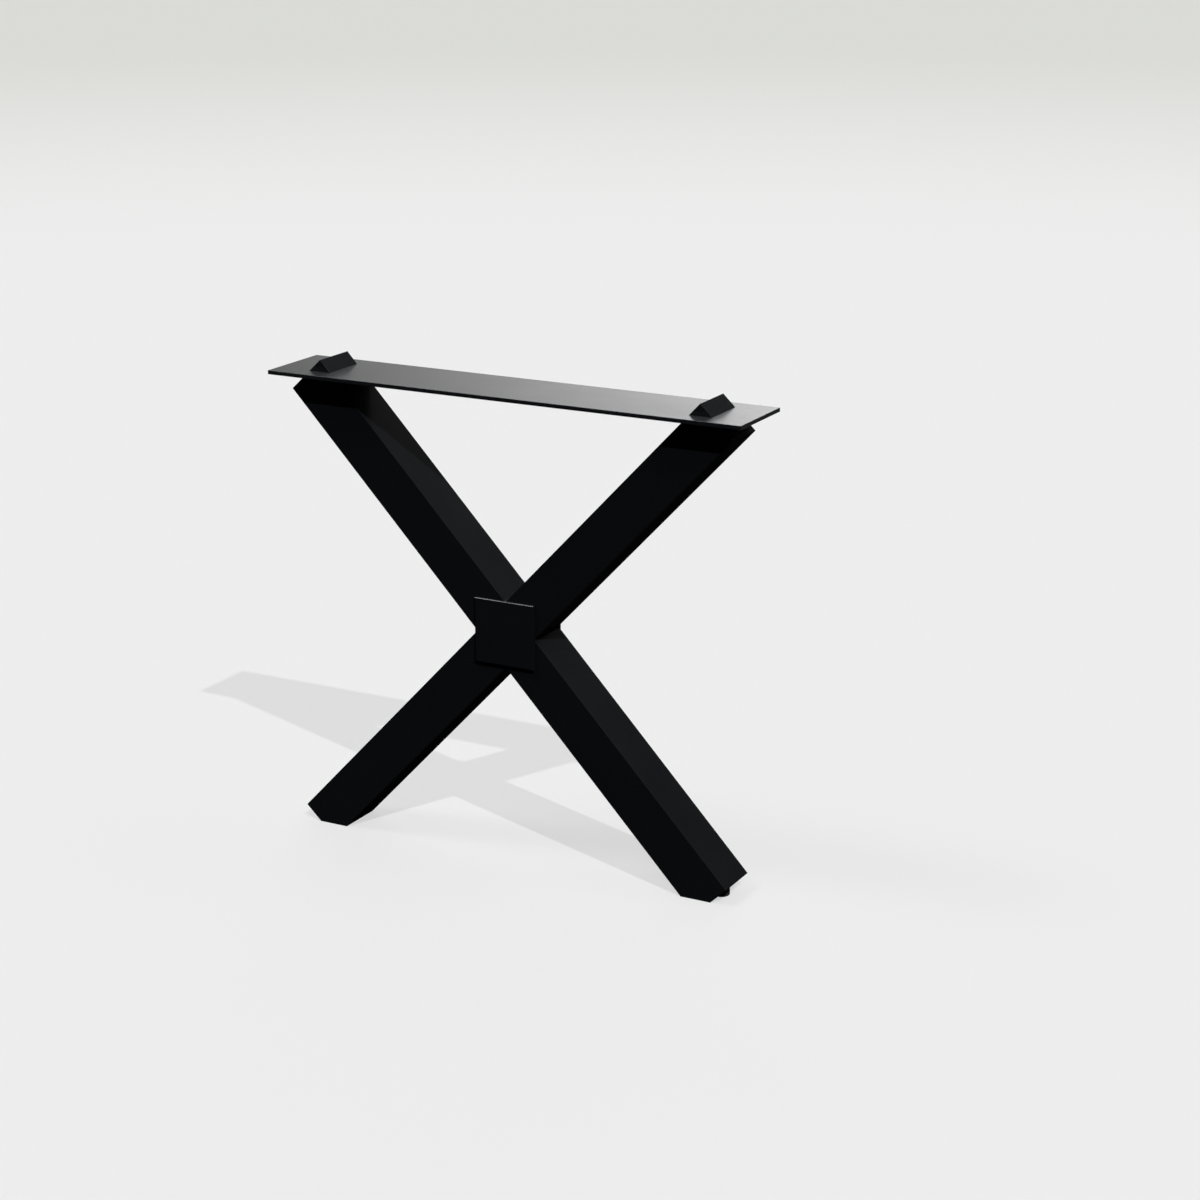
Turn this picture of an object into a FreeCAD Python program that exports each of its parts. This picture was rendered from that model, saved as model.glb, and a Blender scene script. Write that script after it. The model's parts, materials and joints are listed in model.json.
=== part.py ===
import FreeCAD, Part
import math
import os
from FreeCAD import Vector

# An X-shaped steel leg for a table. Two crossed bars of box section butt on a square hub, a flat
# plate on top carries the table top, and a round glide sits at the end of each foot.
# Millimetres. The origin is on the floor, below the centre of the leg. X runs along the plate,
# Y runs from the front to the back, and Z is up.

# The leg as a whole
underside_height = 718.0        # floor to the underside of the top plate
foot_spread = 340.0             # centre of the leg to where a bar's centre line meets the floor

# The top plate
plate_end_margin = 50.0         # from where a bar's centre line meets the plate to the plate's end
plate_side_margin = 27.5        # how far the plate stands out in front of the bars and behind them
plate_thickness = 6.0
plate_edge_radius = 0.5         # the edges are linished, not sharp

# The bars: box section made of strips, with their long welds ground to a fine edge
bar_height = 70.0               # section measured in the plane of the X
bar_depth = 75.0                # section measured from the front to the back
bar_wall = 3.0
bar_corner_radius = 0.5
bar_end_radius = 0.5            # round the square-cut ends, where the caps' welds are ground

# The plates that close the bars' ends
cap_thickness = 3.0
sole_thickness = 3.0
sole_edge_radius = 0.5          # round the face that meets the floor

# The hub at the crossing
hub_width = 100.0
hub_height = 100.0
hub_wall = 5.0
hub_cover_thickness = 5.0
hub_edge_radius = 2.0           # round the outer face of each cover

# The glides
glide_diameter = 26.0
glide_height = 18.0
glide_edge = 0.5                # chamfer round the face that meets the floor
glide_clearance = 0.15          # glide to its seat in the foot, all round
glide_bar_width = 28.0
glide_bar_thickness = 4.0

# The glides' countersunk screws
screw_diameter = 5.0
screw_length = 22.0             # from the face of the head to the tip
screw_head_diameter = 9.2
screw_head_rim = 0.4            # the cylindrical rim round the face, before the 90 degree cone
screw_socket_width = 3.0        # across the flats of the hexagon
screw_socket_depth = 1.6
screw_recess = 1.5              # the head lies this far above the floor
screw_hole_clearance = 0.25     # shank to the glide, all round
thread_clearance = 0.05         # shank to the tapped bar, all round

# Cutting solids reach this far past what they cut
overshoot = 20.0

# What follows from those sizes
crossing_height = underside_height / 2
bar_angle = math.atan2(underside_height, 2 * foot_spread)
bar_half_length = math.hypot(foot_spread, crossing_height)
plate_top = underside_height + plate_thickness
plate_half_length = foot_spread + plate_end_margin
plate_half_width = bar_depth / 2 + plate_side_margin
hub_bottom = (plate_top - hub_height) / 2       # the hub sits halfway up the whole leg
everywhere = 2 * (foot_spread + plate_top)      # longer than anything in the leg

SIDES = {"left": -1, "right": 1}
LEVELS = {"lower": -1, "upper": 1}


def block(x_low, x_high, y_low, y_high, z_low, z_high):
    """A box between two corners."""
    low = Vector(x_low, y_low, z_low)
    return Part.makeBox(x_high - x_low, y_high - y_low, z_high - z_low, low)


def round_edges(solid, radius, wanted):
    """Round the edges whose two ends pass a test."""
    edges = []
    for edge in solid.Edges:
        ends = [vertex.Point for vertex in edge.Vertexes]
        if len(ends) == 2 and wanted(ends[0], ends[1]):
            edges.append(edge)
    return solid.makeFillet(radius, edges)


def same(first, second):
    """Whether two coordinates are one and the same."""
    return abs(first - second) < 1e-6


def lying_bar(start, end, height, depth):
    """A stretch of bar as it is drawn, lying along X with its section centred."""
    return block(start, end, -depth / 2, depth / 2, -height / 2, height / 2)


def raised(solid):
    """Turn what is drawn lying along X up to the upper right arm's slope, from the crossing."""
    solid.rotate(Vector(0, 0, 0), Vector(0, -1, 0), math.degrees(bar_angle))
    solid.translate(Vector(0, 0, crossing_height))
    return solid


def bar_outside():
    """The upper right arm's outside, from the crossing to its square-cut end, with its rounds."""
    solid = lying_bar(0, bar_half_length, bar_height, bar_depth)
    solid = round_edges(solid, bar_corner_radius, lambda a, b: not same(a.x, b.x))
    solid = round_edges(solid, bar_end_radius,
                        lambda a, b: same(a.x, bar_half_length) and same(b.x, bar_half_length))
    return raised(solid)


def placed(solid, side, level):
    """Carry a piece of the upper right arm to one of the four arms."""
    result = solid.copy()
    if level < 0:
        result = result.mirror(Vector(0, 0, crossing_height), Vector(0, 0, 1))
    if side < 0:
        result = result.mirror(Vector(0, 0, 0), Vector(1, 0, 0))
    return result


def quadrant():
    """The upper right quarter of space about the crossing, where that arm may be.

    Its two flat sides are the mitres on which neighbouring arms meet.
    """
    return block(0, everywhere, -bar_depth, bar_depth, crossing_height, everywhere)


def hub_block():
    """Everything the hub fills, which the arms' inner ends are cut back to."""
    half = hub_width / 2
    return block(-half, half, -bar_depth, bar_depth, hub_bottom, hub_bottom + hub_height)


def below_floor():
    """The space under the floor, which cuts the feet flat."""
    return block(-everywhere, everywhere, -bar_depth, bar_depth, -everywhere, 0)


def foot_slice():
    """The layer just above the floor that the soles fill."""
    return block(-everywhere, everywhere, -bar_depth, bar_depth, 0, sole_thickness)


def glide_seat(side):
    """The round opening that a glide passes through, in its sole and its end cap."""
    radius = glide_diameter / 2 + glide_clearance
    height = glide_height + overshoot
    return Part.makeCylinder(radius, height, Vector(side * foot_spread, 0, -overshoot))


def arm_envelope(side, level):
    """An arm's outside, within its quarter. A lower arm is cut flat at the floor."""
    solid = placed(bar_outside().common(quadrant()), side, level)
    if level < 0:
        solid = solid.cut(below_floor())
        solid = round_edges(solid, sole_edge_radius, lambda a, b: same(a.z, 0) and same(b.z, 0))
    return solid


def arm_hollow(side, level):
    """The space inside an arm, which ends at the end cap."""
    inner_end = bar_half_length - cap_thickness
    inside = lying_bar(0, inner_end, bar_height - 2 * bar_wall, bar_depth - 2 * bar_wall)
    return placed(raised(inside).common(quadrant()), side, level)


def cap_zone(side, level):
    """The slice of an arm that its end cap fills."""
    start = bar_half_length - cap_thickness
    zone = lying_bar(start, bar_half_length + overshoot, 2 * bar_height, 2 * bar_depth)
    return placed(raised(zone), side, level)


def arm(side, level):
    """A hollow arm: notched over the hub inside, square outside, and flat at the foot."""
    solid = arm_envelope(side, level).cut(arm_hollow(side, level))
    solid = solid.cut(cap_zone(side, level)).cut(hub_block())
    if level < 0:
        solid = solid.cut(foot_slice())
    return solid


def end_cap(side, level):
    """The plate that closes an arm's square-cut end."""
    solid = arm_envelope(side, level).common(cap_zone(side, level))
    if level < 0:
        solid = solid.cut(foot_slice()).cut(glide_seat(side))
    return solid


def sole(side):
    """The plate that closes the flat stretch of a foot."""
    solid = arm_envelope(side, LEVELS["lower"]).common(foot_slice())
    return solid.cut(glide_seat(side))


def top_plate():
    """The flat plate, with the sloping slots that the upper arms' corners fill."""
    solid = block(-plate_half_length, plate_half_length, -plate_half_width, plate_half_width,
                  underside_height, plate_top)
    solid = solid.makeFillet(plate_edge_radius, solid.Edges)
    for side in SIDES.values():
        solid = solid.cut(arm_envelope(side, LEVELS["upper"]))
    return solid


def hub_sleeve():
    """The square sleeve that the arms butt on, as deep as they are."""
    half = hub_width / 2
    depth = bar_depth / 2
    outside = block(-half, half, -depth, depth, hub_bottom, hub_bottom + hub_height)
    inner_half = half - hub_wall
    inside = block(-inner_half, inner_half, -bar_depth, bar_depth,
                   hub_bottom + hub_wall, hub_bottom + hub_height - hub_wall)
    return outside.cut(inside)


def hub_cover(facing):
    """A square plate over the hub, with the edges of its outer face rounded."""
    half = hub_width / 2
    inner = facing * bar_depth / 2
    outer = inner + facing * hub_cover_thickness
    solid = block(-half, half, min(inner, outer), max(inner, outer),
                  hub_bottom, hub_bottom + hub_height)
    return round_edges(solid, hub_edge_radius, lambda a, b: same(a.y, outer) and same(b.y, outer))


def revolved(profile, side):
    """Turn a half profile of (radius, height) points about a glide's axis."""
    points = [Vector(radius, 0, height) for radius, height in profile]
    face = Part.Face(Part.makePolygon(points + points[:1]))
    solid = face.revolve(Vector(0, 0, 0), Vector(0, 0, 1), 360)
    solid.translate(Vector(side * foot_spread, 0, 0))
    return solid


def glide(side):
    """A round moulded glide with a countersunk hole up its middle."""
    rim = glide_diameter / 2
    hole = screw_diameter / 2 + screw_hole_clearance
    mouth = screw_head_diameter / 2
    rim_top = screw_recess + screw_head_rim
    cone_top = rim_top + (mouth - hole)
    profile = [(mouth, 0), (rim - glide_edge, 0), (rim, glide_edge), (rim, glide_height),
               (hole, glide_height), (hole, cone_top), (mouth, rim_top)]
    return revolved(profile, side)


def glide_screw(side):
    """A countersunk screw, its head down, with a hexagon socket in the head."""
    mouth = screw_head_diameter / 2
    shank = screw_diameter / 2
    rim_top = screw_recess + screw_head_rim
    cone_top = rim_top + (mouth - shank)
    profile = [(0, screw_recess), (mouth, screw_recess), (mouth, rim_top), (shank, cone_top),
               (shank, screw_recess + screw_length), (0, screw_recess + screw_length)]
    corner = screw_socket_width / math.sqrt(3)
    points = [Vector(corner * math.cos(math.radians(60 * turn)),
                     corner * math.sin(math.radians(60 * turn)), 0) for turn in range(6)]
    socket = Part.Face(Part.makePolygon(points + points[:1]))
    socket.translate(Vector(side * foot_spread, 0, 0))
    socket_solid = socket.extrude(Vector(0, 0, screw_recess + screw_socket_depth))
    return revolved(profile, side).cut(socket_solid)


def glide_bar(side):
    """The tapped flat bar across the inside of a foot, which its glide bears on."""
    centre = side * foot_spread
    half = glide_bar_width / 2
    solid = block(centre - half, centre + half, -bar_depth, bar_depth,
                  glide_height, glide_height + glide_bar_thickness)
    solid = solid.common(arm_hollow(side, LEVELS["lower"]))
    radius = screw_diameter / 2 + thread_clearance
    return solid.cut(Part.makeCylinder(radius, underside_height, Vector(centre, 0, 0)))


def pieces():
    """Every piece of the leg, by name."""
    made = {"top_plate": top_plate(), "hub_sleeve": hub_sleeve()}
    made["hub_cover_front"] = hub_cover(-1)
    made["hub_cover_back"] = hub_cover(1)
    for side_name, side in SIDES.items():
        for level_name, level in LEVELS.items():
            made[f"arm_{level_name}_{side_name}"] = arm(side, level)
            made[f"cap_{level_name}_{side_name}"] = end_cap(side, level)
        made[f"sole_{side_name}"] = sole(side)
        made[f"glide_{side_name}"] = glide(side)
        made[f"glide_screw_{side_name}"] = glide_screw(side)
        made[f"glide_bar_{side_name}"] = glide_bar(side)
    return made


def write_pieces():
    """Write each piece to its own file, and print what it measures."""
    os.makedirs("parts", exist_ok=True)
    for name, shape in pieces().items():
        solids = shape.Solids
        if len(solids) == 1:
            shape = solids[0]
        shape.exportStep(f"parts/{name}.step")
        box = shape.BoundBox
        print(f"{name:20s} solids {len(solids)} valid {shape.isValid()} "
              f"volume {shape.Volume / 1000:8.2f} cm3 "
              f"x {box.XMin:7.1f} {box.XMax:7.1f} z {box.ZMin:7.1f} {box.ZMax:7.1f}")


write_pieces()
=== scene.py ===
# %% [markdown]
# # An X-shaped steel table leg
#
# The leg is two crossed bars of box section on a square hub, with a flat plate on top and a round
# glide in each foot. All that shows of it, apart from the glides and their screws, is steel with one
# black powder coat. The shapes come from the workshop drawing, which this script loads as a frame.
# What is left to do is what a painter and a photographer do: give each surface its finish, and light
# it.

# %% Load the frame
import json
import math

import bpy
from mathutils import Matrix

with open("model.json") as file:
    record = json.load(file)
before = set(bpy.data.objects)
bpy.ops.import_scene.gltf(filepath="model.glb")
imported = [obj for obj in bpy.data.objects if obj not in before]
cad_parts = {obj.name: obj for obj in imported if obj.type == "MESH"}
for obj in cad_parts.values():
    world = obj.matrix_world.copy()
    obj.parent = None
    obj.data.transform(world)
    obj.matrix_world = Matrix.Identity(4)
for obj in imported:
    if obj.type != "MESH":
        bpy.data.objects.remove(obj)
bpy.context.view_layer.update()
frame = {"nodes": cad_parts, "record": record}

print("pieces in the frame:", len(frame["nodes"]))

# %% [markdown]
# ## The camera
#
# The photograph looks at the leg from the right and from above. Its angle was worked out from the
# leg's own edges: 28 degrees round to the right, 17 degrees down, with a lens that takes in 26
# degrees. A long lens like this keeps the four arms nearly parallel. The camera could be aimed at a
# target object, but plain angles are steadier, because nothing has to be solved when the scene loads.

# %% Set up the camera
turn_right = math.radians(28)
look_down = math.radians(17)
lens_angle = math.radians(26)
film_side = 36
camera_place = (1.8406, -3.2017, 1.5317)

camera_data = bpy.data.cameras.new("camera")
camera_data.sensor_width = film_side
camera_data.sensor_height = film_side
camera_data.lens = film_side / 2 / math.tan(lens_angle / 2)
camera = bpy.data.objects.new("camera", camera_data)
camera.location = camera_place
camera.rotation_euler = (math.pi / 2 - look_down, 0, turn_right)
bpy.context.scene.collection.objects.link(camera)
bpy.context.scene.camera = camera
print("lens, millimetres:", round(camera_data.lens, 2))

# %% [markdown]
# ## How colours are shown
#
# Blender's usual view bends bright tones down as film does, and a pale floor comes out greyer than
# it was painted. The Standard view shows each colour as it was written, so that a tone can be set
# beside the photograph's.

# %% Show colours as they are written
view = bpy.context.scene.view_settings
view.view_transform = "Standard"
print("view:", view.view_transform)

# %% [markdown]
# ## Materials are trees of nodes
#
# Every finish here is a small tree of nodes that feeds one shader. It could be drawn by hand in the
# shader editor, but a script keeps all its numbers where they can be read. Making each node by name
# takes many lines, so one helper starts a material, and another makes a node, sets its sockets and
# returns it.

# %% Helpers that make a material and a node
def new_material(name):
    """An empty material, its node tree, and its shader."""
    material = bpy.data.materials.new(name)
    material.use_nodes = True
    tree = material.node_tree
    shader = tree.nodes["Principled BSDF"]
    return material, tree, shader


def add_node(tree, kind, values=None, **settings):
    """Make a node, set its properties, and set the sockets named in values."""
    node = tree.nodes.new(kind)
    for name, value in settings.items():
        setattr(node, name, value)
    for socket, value in (values or {}).items():
        node.inputs[socket].default_value = value
    return node


print("helpers:", new_material.__name__, add_node.__name__)

# %% [markdown]
# ## Patterns that stay on the metal
#
# No real finish is the same all over, and noise gives it small changes. A painted image could do that
# too, but it would have to be wrapped round every piece. The noise is measured in the object's own
# coordinates, so a blob of it stays put on the metal, whichever way the leg is looked at. It comes
# out as a grey from 0 to 1, mostly near the middle, so a second helper stretches it over the range
# that is wanted.

# %% Helpers for noise
def noise(tree, per_metre, detail=2.0, roughness=0.5):
    """Noise on object coordinates, with about per_metre blobs in a metre."""
    place = add_node(tree, "ShaderNodeTexCoord")
    pattern = add_node(tree, "ShaderNodeTexNoise",
                       {"Scale": per_metre, "Detail": detail, "Roughness": roughness})
    tree.links.new(place.outputs["Object"], pattern.inputs["Vector"])
    return pattern.outputs["Fac"]


def spread(tree, value, low, high, start=0.3, end=0.7):
    """Stretch a value that lies between start and end over low to high."""
    stretch = add_node(tree, "ShaderNodeMapRange",
                       {"From Min": start, "From Max": end, "To Min": low, "To Max": high})
    tree.links.new(value, stretch.inputs["Value"])
    return stretch.outputs["Result"]


print("helpers:", noise.__name__, spread.__name__)

# %% [markdown]
# ## From a pattern to a colour or a relief
#
# A pattern changes a finish in two ways. It blends two tones, or it is taken as a height, and the
# light then falls on the surface as if it rose and fell. The surface could really be moved up and
# down, but ripples this fine would need millions of faces, and nobody sees them from the side.

# %% Helpers for colour and relief
def blend_colours(tree, amount, first, second):
    """A colour between two, by an amount."""
    mix = add_node(tree, "ShaderNodeMix", data_type="RGBA")
    mix.inputs["A"].default_value = (*first, 1)
    mix.inputs["B"].default_value = (*second, 1)
    tree.links.new(amount, mix.inputs["Factor"])
    return mix.outputs["Result"]


def bump(tree, height, strength, depth, below=None):
    """Bump from a height, on top of another bump if there is one."""
    relief = add_node(tree, "ShaderNodeBump", {"Strength": strength, "Distance": depth})
    tree.links.new(height, relief.inputs["Height"])
    if below is not None:
        tree.links.new(below, relief.inputs["Normal"])
    return relief.outputs["Normal"]


print("helpers:", blend_colours.__name__, bump.__name__)

# %% [markdown]
# ## The black powder coat
#
# Powder coat is sprayed on dry and baked until it melts. It doesn't flow out quite flat: it keeps a
# soft ripple, called orange peel, with waves of about two millimetres, and a much finer grain on
# top. Its colour is an even black with a trace of blue. It is semi-gloss, so the roughness is low and
# drifts a little from place to place. A flat black would look like a hole in the picture, and the
# ripple is what lets a reflection break up on it.

# %% Make the powder coat
coat_dark, coat_light = (0.0050, 0.0056, 0.0070), (0.0060, 0.0066, 0.0081)
coat_smooth, coat_rough = 0.19, 0.23
grain_roughness = 0.02
ripples_per_metre, grains_per_metre, drifts_per_metre = 420, 2600, 9
ripple_strength, grain_strength = 0.10, 0.06
ripple_depth, grain_depth = 0.0003, 0.00005
haze_roughness = 0.3


def powder_coat(name, haze=0.0):
    """The black coat, with as much haze over it as the piece needs."""
    material, tree, shader = new_material(name)
    ripple = noise(tree, ripples_per_metre, detail=1.0)
    grain = noise(tree, grains_per_metre, detail=2.0)
    drift = noise(tree, drifts_per_metre, detail=3.0)

    colour = blend_colours(tree, spread(tree, drift, 0, 1), coat_dark, coat_light)
    tree.links.new(colour, shader.inputs["Base Color"])

    roughness = add_node(tree, "ShaderNodeMath", operation="ADD")
    tree.links.new(spread(tree, drift, coat_smooth, coat_rough), roughness.inputs[0])
    tree.links.new(spread(tree, grain, -grain_roughness, grain_roughness), roughness.inputs[1])
    tree.links.new(roughness.outputs[0], shader.inputs["Roughness"])

    waves = bump(tree, ripple, ripple_strength, ripple_depth)
    relief = bump(tree, grain, grain_strength, grain_depth, below=waves)
    tree.links.new(relief, shader.inputs["Normal"])

    shader.inputs["Sheen Weight"].default_value = haze
    shader.inputs["Sheen Roughness"].default_value = haze_roughness
    return material


finishes = {"black_powder_coat": powder_coat("black_powder_coat")}
print("orange peel, millimetres from wave to wave:", round(1000 / ripples_per_metre, 1))

# %% [markdown]
# ## The haze on the top plate
#
# The top plate has the same coat with a light haze over it. The camera looks almost along its
# surface, where a bare mirror image of the bars' corners would be as dark as the corners themselves.
# The haze could be a second, rougher gloss, but the shader's sheen does it with one number.

# %% Make the plate's hazy coat
plate_haze = 0.4
plate_finish = powder_coat("plate_powder_coat", haze=plate_haze)
print(plate_finish.name, "has haze", plate_haze)

# %% [markdown]
# ## The nylon of the glides
#
# The glides are moulded nylon, dyed a black that is greyer than the paint's. A mould leaves a dull,
# slightly cloudy skin that is rougher than the paint. The paint with other numbers wouldn't do,
# because nylon has no orange peel, so a coarse noise clouds the colour and a very fine one roughens
# the skin.

# %% Make the nylon
nylon_dark, nylon_light = (0.030, 0.030, 0.030), (0.045, 0.045, 0.043)
nylon_smooth, nylon_rough = 0.48, 0.62
clouds_per_metre, pits_per_metre = 160, 3200
skin_strength, skin_depth = 0.15, 0.00006

nylon, tree, shader = new_material("black_nylon")
cloud = noise(tree, clouds_per_metre, detail=3.0)
skin = noise(tree, pits_per_metre, detail=2.0)
colour = blend_colours(tree, spread(tree, cloud, 0, 1), nylon_dark, nylon_light)
tree.links.new(colour, shader.inputs["Base Color"])
tree.links.new(spread(tree, skin, nylon_smooth, nylon_rough), shader.inputs["Roughness"])
tree.links.new(bump(tree, skin, skin_strength, skin_depth), shader.inputs["Normal"])
finishes["black_nylon"] = nylon
print("nylon roughness:", nylon_smooth, "to", nylon_rough)

# %% [markdown]
# ## The zinc and the bare steel
#
# The glides' screws are zinc plated, which is a thin, bright, patchy metal skin, and the tapped bars
# inside the feet are bare rolled steel with scale on it. They hardly show, but from underneath the
# screw's head does. Both are metal that is blotched between two tones, smoother where it is darker,
# so one helper makes them, and only its numbers differ.

# %% Make the two metals
blotch_strength, blotch_depth = 0.08, 0.00005


def blotched_metal(name, dark, light, smooth, rough, spots):
    """A bare or plated metal, blotched between two tones, with so many spots in a metre."""
    material, tree, shader = new_material(name)
    blotch = noise(tree, spots, detail=4.0)
    colour = blend_colours(tree, spread(tree, blotch, 0, 1), dark, light)
    tree.links.new(colour, shader.inputs["Base Color"])
    tree.links.new(spread(tree, blotch, smooth, rough), shader.inputs["Roughness"])
    tree.links.new(bump(tree, blotch, blotch_strength, blotch_depth), shader.inputs["Normal"])
    shader.inputs["Metallic"].default_value = 1.0
    return material


finishes["zinc_plated_steel"] = blotched_metal(
    "zinc_plated_steel", dark=(0.50, 0.51, 0.54), light=(0.68, 0.69, 0.70),
    smooth=0.22, rough=0.40, spots=700)
finishes["bare_steel"] = blotched_metal(
    "bare_steel", dark=(0.16, 0.155, 0.15), light=(0.34, 0.33, 0.32),
    smooth=0.38, rough=0.60, spots=240)
print("finishes:", ", ".join(finishes), "and", plate_finish.name)

# %% [markdown]
# ## Dress the pieces
#
# The drawing's record says which finish each piece has, and the top plate gets the hazy coat. The
# pieces keep their shape: only what is in their material slots changes. Copies of the pieces could be
# dressed instead, but the drawn meshes are already right.

# %% Give every piece its finish
for entry in frame["record"]["subparts"]:
    piece = frame["nodes"][entry["node"]]
    finish = plate_finish if entry["node"] == "top_plate" else finishes[entry["material_slot"]]
    piece.data.materials.clear()
    piece.data.materials.append(finish)
    print(entry["node"], "wears", finish.name)

# %% [markdown]
# ## The floor
#
# The leg stands on a pale, even floor that goes on until it is out of sight. A curved backdrop would
# do it too, but it would stand in the way of a camera behind the leg, so the floor is one big disc.

# %% Lay the floor
import bmesh

floor_radius = 60.0
floor_sides = 96

mesh = bpy.data.meshes.new("floor")
shape = bmesh.new()
bmesh.ops.create_circle(shape, cap_ends=True, radius=floor_radius, segments=floor_sides)
shape.to_mesh(mesh)
shape.free()
floor = bpy.data.objects.new("floor", mesh)
bpy.context.scene.collection.objects.link(floor)
print("floor radius, metres:", floor_radius)

# %% [markdown]
# ## The floor's paint
#
# The floor darkens a little in the distance, with no line where it ends. Its tone follows the
# distance from the leg, which works for a camera on any side.
#
# A real studio floor this pale would light the undersides of the bars and show in them as a grey
# sheen. In the photograph the undersides are black. So the floor glows for the camera alone, and for
# the light that bounces on the leg it is dark. It is also a dull grey paint that takes the lamps'
# light, and that is what draws the leg's shadow.

# %% Paint the floor
near_edge, far_edge = 5.0, 14.5
near_tone, far_tone = (0.610, 0.610, 0.610), (0.464, 0.471, 0.436)
paint_for_camera, paint_for_leg = (0.177, 0.177, 0.177), (0.002, 0.002, 0.002)

floor_paint, tree, shader = new_material("floor_paint")
tree.nodes.remove(shader)
by_camera = add_node(tree, "ShaderNodeLightPath").outputs["Is Camera Ray"]

place = add_node(tree, "ShaderNodeTexCoord")
distance = add_node(tree, "ShaderNodeVectorMath", operation="LENGTH")
tree.links.new(place.outputs["Object"], distance.inputs[0])
far = spread(tree, distance.outputs["Value"], 0, 1, start=near_edge, end=far_edge)
far.node.interpolation_type = "SMOOTHSTEP"
glow = add_node(tree, "ShaderNodeEmission")
tree.links.new(blend_colours(tree, far, near_tone, far_tone), glow.inputs["Color"])
tree.links.new(by_camera, glow.inputs["Strength"])

paint = add_node(tree, "ShaderNodeBsdfDiffuse")
tone = blend_colours(tree, by_camera, paint_for_leg, paint_for_camera)
tree.links.new(tone, paint.inputs["Color"])

both = add_node(tree, "ShaderNodeAddShader")
tree.links.new(glow.outputs[0], both.inputs[0])
tree.links.new(paint.outputs[0], both.inputs[1])
tree.links.new(both.outputs[0], tree.nodes["Material Output"].inputs["Surface"])
floor.data.materials.append(floor_paint)
print("the floor darkens from", near_edge, "to", far_edge, "metres")

# %% [markdown]
# ## The main lamp
#
# One lamp makes the crisp shadow that falls to the left and away. The shadow's corners, set against
# the plate's corners, say where the lamp is: 42 degrees round to the front right, and 47 degrees up.
# A spot lamp could make it too, but a sun lamp's rays are parallel, and one angle sets how crisp the
# shadow is. The lamp's own mirror image is switched off: a lamp this small would draw a hard white
# glint along every ground edge, and the leg in the photograph has none.

# %% Hang the main lamp
def hang_sun(name, strength, round_to, up_to, across):
    """A sun lamp, by where it stands round the leg, how high, and how wide it looks, in degrees."""
    data = bpy.data.lights.new(name, "SUN")
    data.energy = strength
    data.angle = math.radians(across)
    lamp = bpy.data.objects.new(name, data)
    lamp.rotation_euler = (math.pi / 2 - math.radians(up_to), 0, math.radians(round_to) + math.pi / 2)
    lamp.visible_glossy = False
    bpy.context.scene.collection.objects.link(lamp)
    return lamp


sun = hang_sun("key_lamp", strength=2.9, round_to=-42.3, up_to=47.2, across=0.6)
print("lamp strength:", round(sun.data.energy, 2))

# %% [markdown]
# ## The fill
#
# The lamp leaves the back of the leg in the dark. A weak second lamp behind it, as broad as a wall of
# white cloth, lights the back faces about as much as the first one lights the front. It is so broad
# that the shadow it throws is too soft to see, and like a sun it lights the floor evenly. Its mirror
# image is switched off too, because the plate would show it.

# %% Hang the fill
fill = hang_sun("fill_lamp", strength=1.0, round_to=120, up_to=25, across=60)
print("fill strength:", round(fill.data.energy, 2))

# %% [markdown]
# ## A soft box in the sky
#
# A black leg is drawn by what it mirrors. A photographer puts soft boxes round it: big white cloths
# with a lamp behind. Area lamps could stand for them, but they have hard edges. Here each one is a
# glow in the sky of the world, brightest in the middle and fading out round about. The helper
# measures how near a ray's direction is to the middle of the box, and lets the glow fall off from it.

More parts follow.
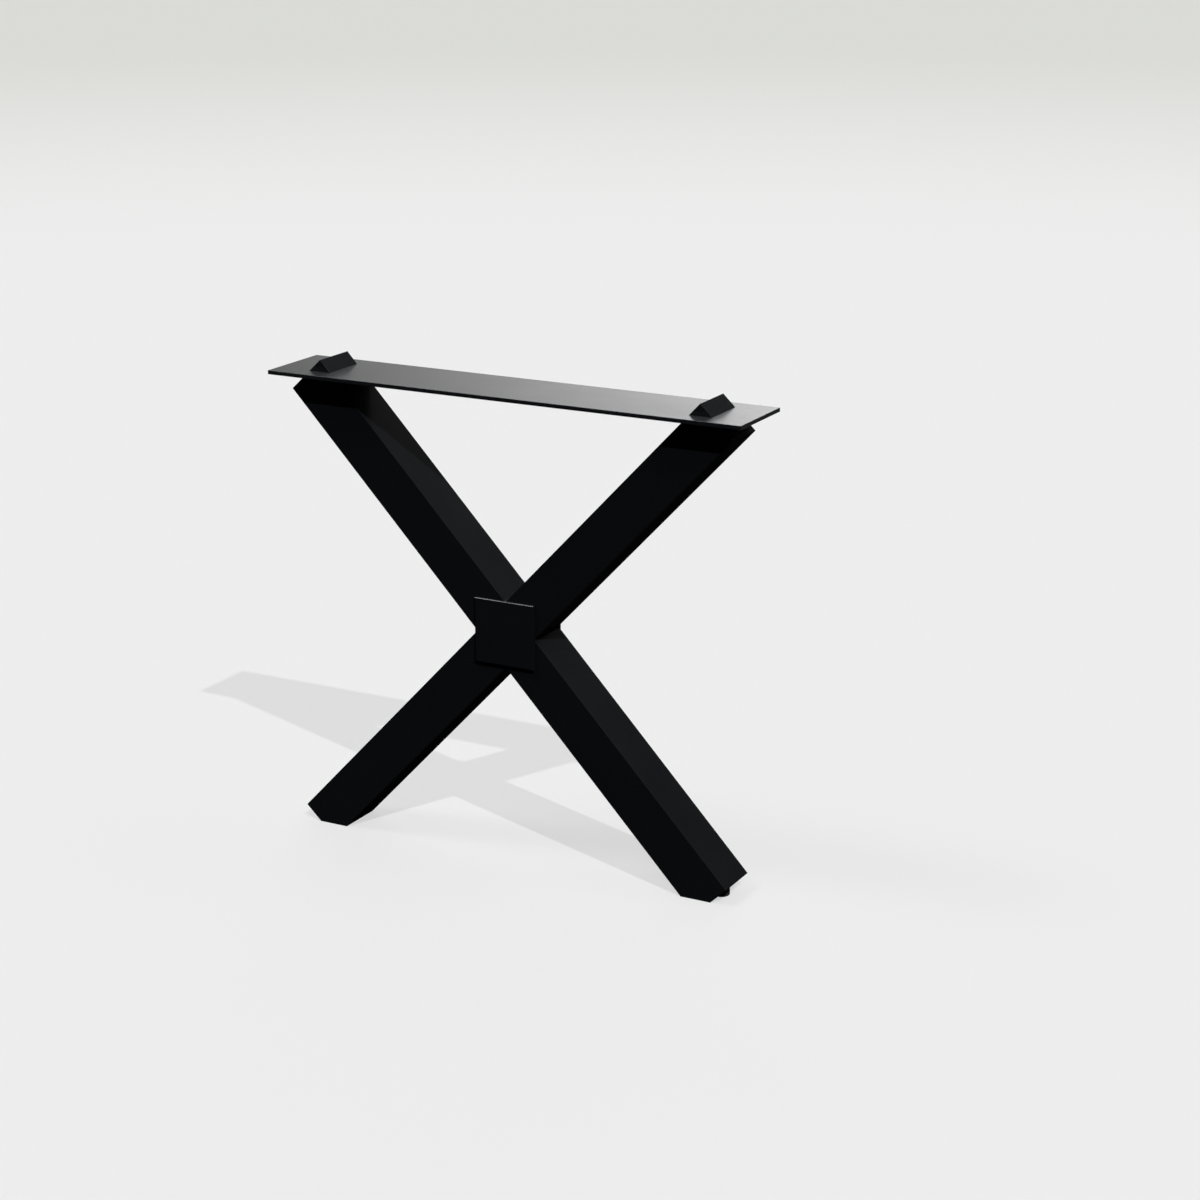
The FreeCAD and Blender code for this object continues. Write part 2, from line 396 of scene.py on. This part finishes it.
# %% A helper that makes a soft box
def soft_box(tree, strength, round_to, up_to, width):
    """A glow towards a direction, which fades over a width. Angles are in degrees."""
    ray = add_node(tree, "ShaderNodeTexCoord").outputs["Generated"]
    flat, rise = math.radians(round_to), math.radians(up_to)
    middle = (math.cos(rise) * math.cos(flat), math.cos(rise) * math.sin(flat), math.sin(rise))
    nearness = add_node(tree, "ShaderNodeVectorMath", {1: middle}, operation="DOT_PRODUCT")
    tree.links.new(ray, nearness.inputs[0])
    sharpness = 2 / math.radians(width) ** 2
    power = add_node(tree, "ShaderNodeMath", {1: sharpness, 2: -sharpness}, operation="MULTIPLY_ADD")
    tree.links.new(nearness.outputs["Value"], power.inputs[0])
    fade = add_node(tree, "ShaderNodeMath", operation="EXPONENT")
    tree.links.new(power.outputs[0], fade.inputs[0])
    box = add_node(tree, "ShaderNodeMath", {1: strength}, operation="MULTIPLY")
    tree.links.new(fade.outputs[0], box.inputs[0])
    return box.outputs[0]


print("helper:", soft_box.__name__)

# %% [markdown]
# ## The room
#
# Four soft boxes stand round the leg in a dim grey room. A low, bright one behind it is what the top
# plate mirrors at its shallow angle: that is why the plate looks pale grey, and palest at its right
# end. A faint one above that shows in the sides that face up and right. Two high ones, at the front
# left and the back right, draw the bright line along the rounded top edge of each hub cover. The one
# in front is small and strong, because a wide one would draw its line wide and dull.
#
# The camera itself sees none of them. Past the floor's edge it sees a plain pale tone, the one that
# the floor ends in.

# %% Light the room
room_grey = 0.02
backdrop = (0.701, 0.708, 0.672)
boxes = {
    "low behind": {"strength": 3.6, "round_to": 106.8, "up_to": 10, "width": 11.4},
    "above": {"strength": 0.24, "round_to": 85, "up_to": 52, "width": 19},
    "high front left": {"strength": 21.0, "round_to": 208, "up_to": 57, "width": 8},
    "high back right": {"strength": 2.5, "round_to": 33, "up_to": 57, "width": 15},
}

world = bpy.data.worlds.new("room")
world.use_nodes = True
bpy.context.scene.world = world
tree = world.node_tree

total = add_node(tree, "ShaderNodeValue").outputs[0]
total.default_value = room_grey
for name, numbers in boxes.items():
    both = add_node(tree, "ShaderNodeMath", operation="ADD")
    tree.links.new(total, both.inputs[0])
    tree.links.new(soft_box(tree, **numbers), both.inputs[1])
    total = both.outputs[0]
    print("soft box", name, "has strength", numbers["strength"])

by_camera = add_node(tree, "ShaderNodeLightPath").outputs["Is Camera Ray"]
sky = add_node(tree, "ShaderNodeMix", {"B": (*backdrop, 1)}, data_type="RGBA")
tree.links.new(by_camera, sky.inputs["Factor"])
tree.links.new(total, sky.inputs["A"])
tree.links.new(sky.outputs["Result"], tree.nodes["Background"].inputs["Color"])
